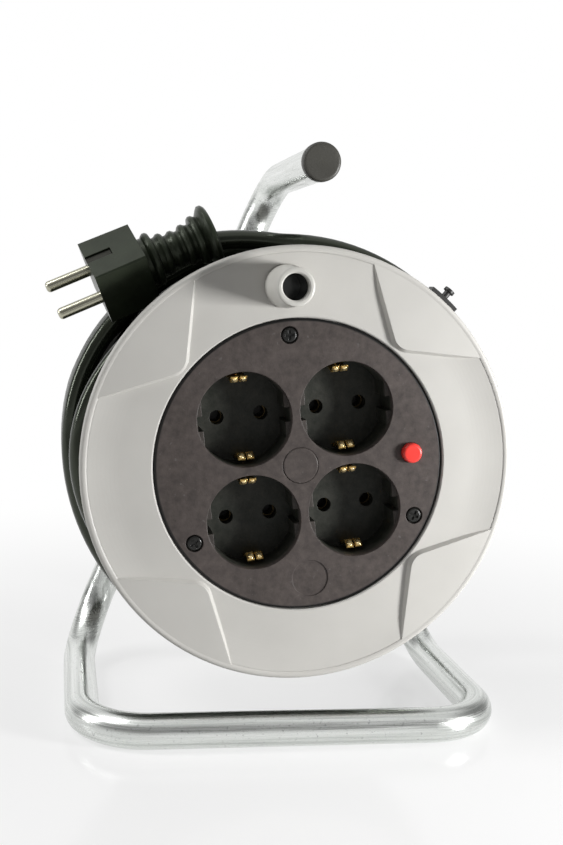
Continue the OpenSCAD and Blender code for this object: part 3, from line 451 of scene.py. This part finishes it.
def make_cable():
    pts = [AXIS + mm(*p) for p in cable_points()]
    data = bpy.data.curves.new("cable", "CURVE")
    data.dimensions = "3D"
    data.bevel_depth = CORD_D / 2000
    data.bevel_resolution = 5
    data.use_fill_caps = True
    spline = data.splines.new("POLY")
    spline.points.add(len(pts) - 1)
    for point, p in zip(spline.points, pts):
        point.co = (*p, 1)
    spline.use_smooth = True
    data.materials.append(MATS["cable"])
    obj = bpy.data.objects.new("cable", data)
    scene.collection.objects.link(obj)
    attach(obj, "drum")
    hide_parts("cable_core", "cable_layer", "cable_winding")


# Domed contact pads pressed into the fingers of the earth clips, in mm in the drum's own frame: the wells' and the
# fingers' distance from their middle, the pads' place in a well, their lean and half sizes, and how square they are
WELL_AT, FINGER_AT, PAD_OUT, PAD_DEEP = 21.5, 1.9, 15.95, 7.5
PAD_LEAN = math.radians(29.6)
PAD_HALF = (1.3, 1.75, 0.8)
PAD_SQUARE = 0.12


def add_pad(bm, put):
    pad = bmesh.ops.create_uvsphere(bm, u_segments=20, v_segments=12, radius=1)["verts"]
    # Squarer than an ellipsoid in plan, like a pressed bead
    for v in pad:
        far = max(abs(v.co.x), abs(v.co.y), 1e-6)
        k = 1 + PAD_SQUARE * (math.hypot(v.co.x, v.co.y) / far - 1)
        v.co.x *= k
        v.co.y *= k
    bmesh.ops.transform(bm, matrix=put, verts=pad)


def make_contacts():
    right = Vector((math.cos(TURN), 0, math.sin(TURN)))
    up = Vector((-math.sin(TURN), 0, math.cos(TURN)))
    back = Vector((0, 1, 0))
    drum = Matrix.Translation(AXIS) @ Matrix.Scale(0.001, 4)
    size = Matrix.Diagonal((*PAD_HALF, 1))
    bm = bmesh.new()
    for sx in (-1, 1):
        for sy in (-1, 1):
            for side in (-1, 1):
                along = up * side * math.sin(PAD_LEAN) - back * math.cos(PAD_LEAN)
                out = -up * side * math.cos(PAD_LEAN) - back * math.sin(PAD_LEAN)
                turned = Matrix((along.cross(out), along, out)).transposed().to_4x4()
                for finger in (-1, 1):
                    place = (right * (sx * WELL_AT + finger * FINGER_AT)
                             + up * (sy * WELL_AT + side * PAD_OUT) + back * PAD_DEEP)
                    add_pad(bm, drum @ Matrix.Translation(place) @ turned @ size)
    for f in bm.faces:
        f.smooth = True
    data = bpy.data.meshes.new("clip_contacts")
    bm.to_mesh(data)
    bm.free()
    data.materials.append(MATS["contact"])
    obj = bpy.data.objects.new("clip_contacts", data)
    scene.collection.objects.link(obj)
    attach(obj, "drum")


# Studio: the floor's half size and glow as light, how its mirror image dims in front, and the ring in which its
# shadow fades to white, in metres; the world's strength as light and how dark its room is in mirrors
FLOOR_HALF, FLOOR_GLOW = 3.0, 0.26
FRONT_DIM, DIM_FROM, DIM_TO = 0.1, -0.8, -0.25
RING_FROM, RING_TO, RING_LEAST = 0.1, 0.5, 0.6
WORLD_LIGHT, ROOM_DARK = 0.15, 0.75
WHITE = (1, 1, 1, 1)


def make_floor():
    """A glossy white floor that keeps the shadow near the reel and fades to the background's white further out."""
    m = Material("floor_white")
    seen = m.add("ShaderNodeLightPath").outputs
    dim = m.span(m.xyz(m.coord)[1], FRONT_DIM, 1.0, DIM_FROM, DIM_TO)
    mirror = m.math("MULTIPLY", seen["Is Glossy Ray"], dim)
    direct = m.math("MAXIMUM", seen["Is Camera Ray"], mirror)
    glow = m.add("ShaderNodeEmission", Color=WHITE)
    m.link(m.span(direct, FLOOR_GLOW, 1.0, 0.0, 1.0), glow.inputs["Strength"])
    cloud = m.noise(8.0, 3.0)
    shade = m.ramp(cloud, (0.3, (0.86, 0.86, 0.86)), (0.7, (0.88, 0.88, 0.88)))
    m.finish(shade, m.span(cloud, 0.12, 0.16))
    ring = m.span(m.vector("LENGTH", m.coord), RING_LEAST, 1.0, RING_FROM, RING_TO, smooth=True)
    blend = m.add("ShaderNodeMixShader")
    m.link(ring, blend.inputs["Fac"])
    m.link(m.shader.outputs[0], blend.inputs[1])
    m.link(glow.outputs[0], blend.inputs[2])
    m.link(blend.outputs[0], m.tree.nodes["Material Output"].inputs["Surface"])
    bm = bmesh.new()
    bmesh.ops.create_grid(bm, x_segments=8, y_segments=8, size=FLOOR_HALF)
    data = bpy.data.meshes.new("floor")
    bm.to_mesh(data)
    bm.free()
    data.materials.append(m.mat)
    floor = bpy.data.objects.new("floor", data)
    scene.collection.objects.link(floor)


def make_world():
    """White where it is seen, dimmer as light, and in mirrors a dim room that is white only at the back and top."""
    world = bpy.data.worlds.new("studio")
    scene.world = world
    world.use_nodes = True
    g = Graph(world.node_tree)
    seen = g.add("ShaderNodeLightPath").outputs
    _, y, z = g.xyz(g.add("ShaderNodeTexCoord").outputs["Generated"])
    front = g.span(y, 1.0, 0.0, 0.45, 0.85, smooth=True)
    low = g.span(z, 0.0, 1.0, -0.02, 0.12, smooth=True)
    high = g.span(z, 1.0, 0.1, 0.6, 0.9, smooth=True)
    dark = g.math("MULTIPLY", g.math("MULTIPLY", front, g.math("MULTIPLY", low, high)), ROOM_DARK)
    mirror = g.math("MULTIPLY", seen["Is Glossy Ray"], g.math("SUBTRACT", 1.0, dark))
    white = g.math("MAXIMUM", seen["Is Camera Ray"], seen["Is Transmission Ray"])
    light = g.math("SUBTRACT", 1.0, g.math("MAXIMUM", white, seen["Is Glossy Ray"]))
    strength = g.math("ADD", g.math("MAXIMUM", white, mirror), g.math("MULTIPLY", light, WORLD_LIGHT))
    background = g.tree.nodes["Background"]
    background.inputs["Color"].default_value = WHITE
    g.link(strength, background.inputs["Strength"])


# Lamps, all aimed at one point: place and size in metres, and power in watts
LAMPS_AT = Vector((0, 0, 0.13))
LAMPS = {
    "key": ((0.465, -0.345, 0.14), (0.12, 0.14), 4.4),
    "top": ((-0.7, -0.15, 1.0), (0.4, 0.4), 4.4),
    "side": ((-0.9, 0.0, 0.45), (0.1, 0.5), 2.6),
}


def make_lights():
    for name, (place, size, power) in LAMPS.items():
        data = bpy.data.lights.new(name, "AREA")
        data.shape = "RECTANGLE"
        data.size, data.size_y = size
        data.energy = power
        obj = bpy.data.objects.new(name, data)
        obj.location = place
        obj.rotation_euler = (LAMPS_AT - Vector(place)).to_track_quat("-Z", "Y").to_euler()
        scene.collection.objects.link(obj)


make_camera()
make_cable()
make_contacts()
dress_nodes()
make_floor()
make_world()
make_lights()
